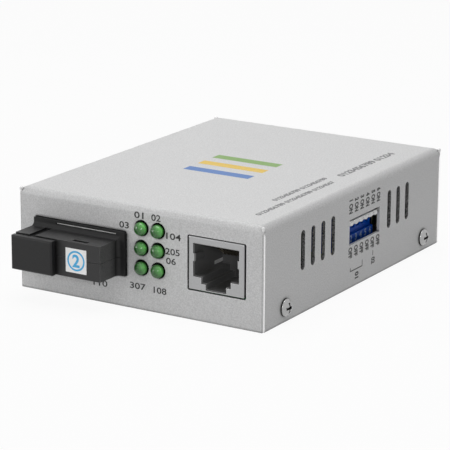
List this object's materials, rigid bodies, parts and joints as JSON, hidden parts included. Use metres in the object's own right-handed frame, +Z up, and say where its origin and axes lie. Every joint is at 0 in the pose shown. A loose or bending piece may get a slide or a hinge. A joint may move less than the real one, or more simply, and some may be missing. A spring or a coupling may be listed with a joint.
{
  "type": "fibre media converter",
  "caption": "Desktop fibre-to-copper media converter: folded steel case, network socket, capped optical transceiver, indicator lamps and a side bank of option levers.",
  "frame": {"origin": "centre of the case's flat underside", "axes": "+Z up, front panel with the sockets towards -Y, +X to the right seen from the front"},
  "size_m": [0.074, 0.1036, 0.0265],
  "materials": {
    "case_paint": "satin silver-grey powder coat with a fine grain",
    "zinc_sheet": "plain zinc-plated sheet",
    "screw_steel": "bright nickel-plated steel",
    "brass_pillar": "turned brass",
    "board_laminate": "green solder mask",
    "transceiver_plastic": "black moulded plastic, semi-gloss",
    "cap_plastic": "black moulded plastic, satin",
    "spring_steel": "bright spring strip",
    "barrel_metal": "turned metal sleeve",
    "tinned_pin": "tinned",
    "shield_plate": "nickel-plated sheet, satin",
    "socket_plastic": "black moulded plastic",
    "gilded_contact": "gold flash",
    "holder_plastic": "black moulded plastic",
    "lamp_lens": "green tinted diffused resin",
    "switch_plastic": "deep blue moulded plastic",
    "lever_plastic": "white moulded plastic",
    "inlet_plastic": "black moulded plastic",
    "inlet_metal": "nickel-plated",
    "chip_plastic": "black moulded epoxy",
    "crystal_metal": "drawn metal can",
    "capacitor_sleeve": "shrunk plastic sleeve on an aluminium can",
    "resistor_body": "ceramic chips with tinned ends"
  },
  "bodies": {
    "root": {"top_cover": "case_paint", "base_tray": "zinc_sheet", "case_screws": "screw_steel", "board_standoffs": "brass_pillar", "board_screws": "screw_steel", "main_board": "board_laminate", "transceiver_upper_housing": "transceiver_plastic", "transceiver_lower_housing": "transceiver_plastic", "earthing_clip": "spring_steel", "optical_barrel": "barrel_metal", "transceiver_pins": "tinned_pin", "socket_shield": "shield_plate", "socket_insert": "socket_plastic", "socket_contacts": "gilded_contact", "lamp_holder": "holder_plastic", "lamp_leads": "tinned_pin", "switch_body": "switch_plastic", "switch_lid": "switch_plastic", "switch_pins": "tinned_pin", "power_inlet_body": "inlet_plastic", "power_inlet_pin": "inlet_metal", "power_inlet_terminals": "tinned_pin", "controller_chip": "chip_plastic", "controller_leads": "tinned_pin", "line_transformer": "chip_plastic", "transformer_leads": "tinned_pin", "crystal_can": "crystal_metal", "electrolytic_capacitors": "capacitor_sleeve", "capacitor_leads": "tinned_pin", "voltage_regulator": "chip_plastic", "regulator_tabs": "tinned_pin", "chip_resistors": "resistor_body", "jumper_header": "holder_plastic", "jumper_pins": "gilded_contact", "indicator_lamp_1": "lamp_lens", "indicator_lamp_2": "lamp_lens", "indicator_lamp_3": "lamp_lens", "indicator_lamp_4": "lamp_lens", "indicator_lamp_5": "lamp_lens", "indicator_lamp_6": "lamp_lens"},
    "dust_cap": {"port_dust_cap": "cap_plastic"},
    "lever_1": {"option_lever_1": "lever_plastic"},
    "lever_2": {"option_lever_2": "lever_plastic"},
    "lever_3": {"option_lever_3": "lever_plastic"},
    "lever_4": {"option_lever_4": "lever_plastic"},
    "lever_5": {"option_lever_5": "lever_plastic"},
    "lever_6": {"option_lever_6": "lever_plastic"}
  },
  "joints": [
    {"name": "dust_cap_pull", "type": "slide", "parent": "root", "child": "dust_cap", "axis": [0, -1, 0], "range_m": [0, 0.02]},
    {"name": "lever_1_rock", "type": "hinge", "parent": "root", "child": "lever_1", "pos_m": [0.0288, -0.00225, 0.0152], "axis": [0, 1, 0], "range_deg": [0, 17]},
    {"name": "lever_2_rock", "type": "hinge", "parent": "root", "child": "lever_2", "pos_m": [0.0288, 0.00029, 0.0152], "axis": [0, 1, 0], "range_deg": [0, 17]},
    {"name": "lever_3_rock", "type": "hinge", "parent": "root", "child": "lever_3", "pos_m": [0.0288, 0.00283, 0.0152], "axis": [0, 1, 0], "range_deg": [0, 17]},
    {"name": "lever_4_rock", "type": "hinge", "parent": "root", "child": "lever_4", "pos_m": [0.0288, 0.00537, 0.0152], "axis": [0, 1, 0], "range_deg": [0, 17]},
    {"name": "lever_5_rock", "type": "hinge", "parent": "root", "child": "lever_5", "pos_m": [0.0288, 0.00791, 0.0152], "axis": [0, 1, 0], "range_deg": [0, 17]},
    {"name": "lever_6_rock", "type": "hinge", "parent": "root", "child": "lever_6", "pos_m": [0.0288, 0.01045, 0.0152], "axis": [0, 1, 0], "range_deg": [0, 17]}
  ]
}
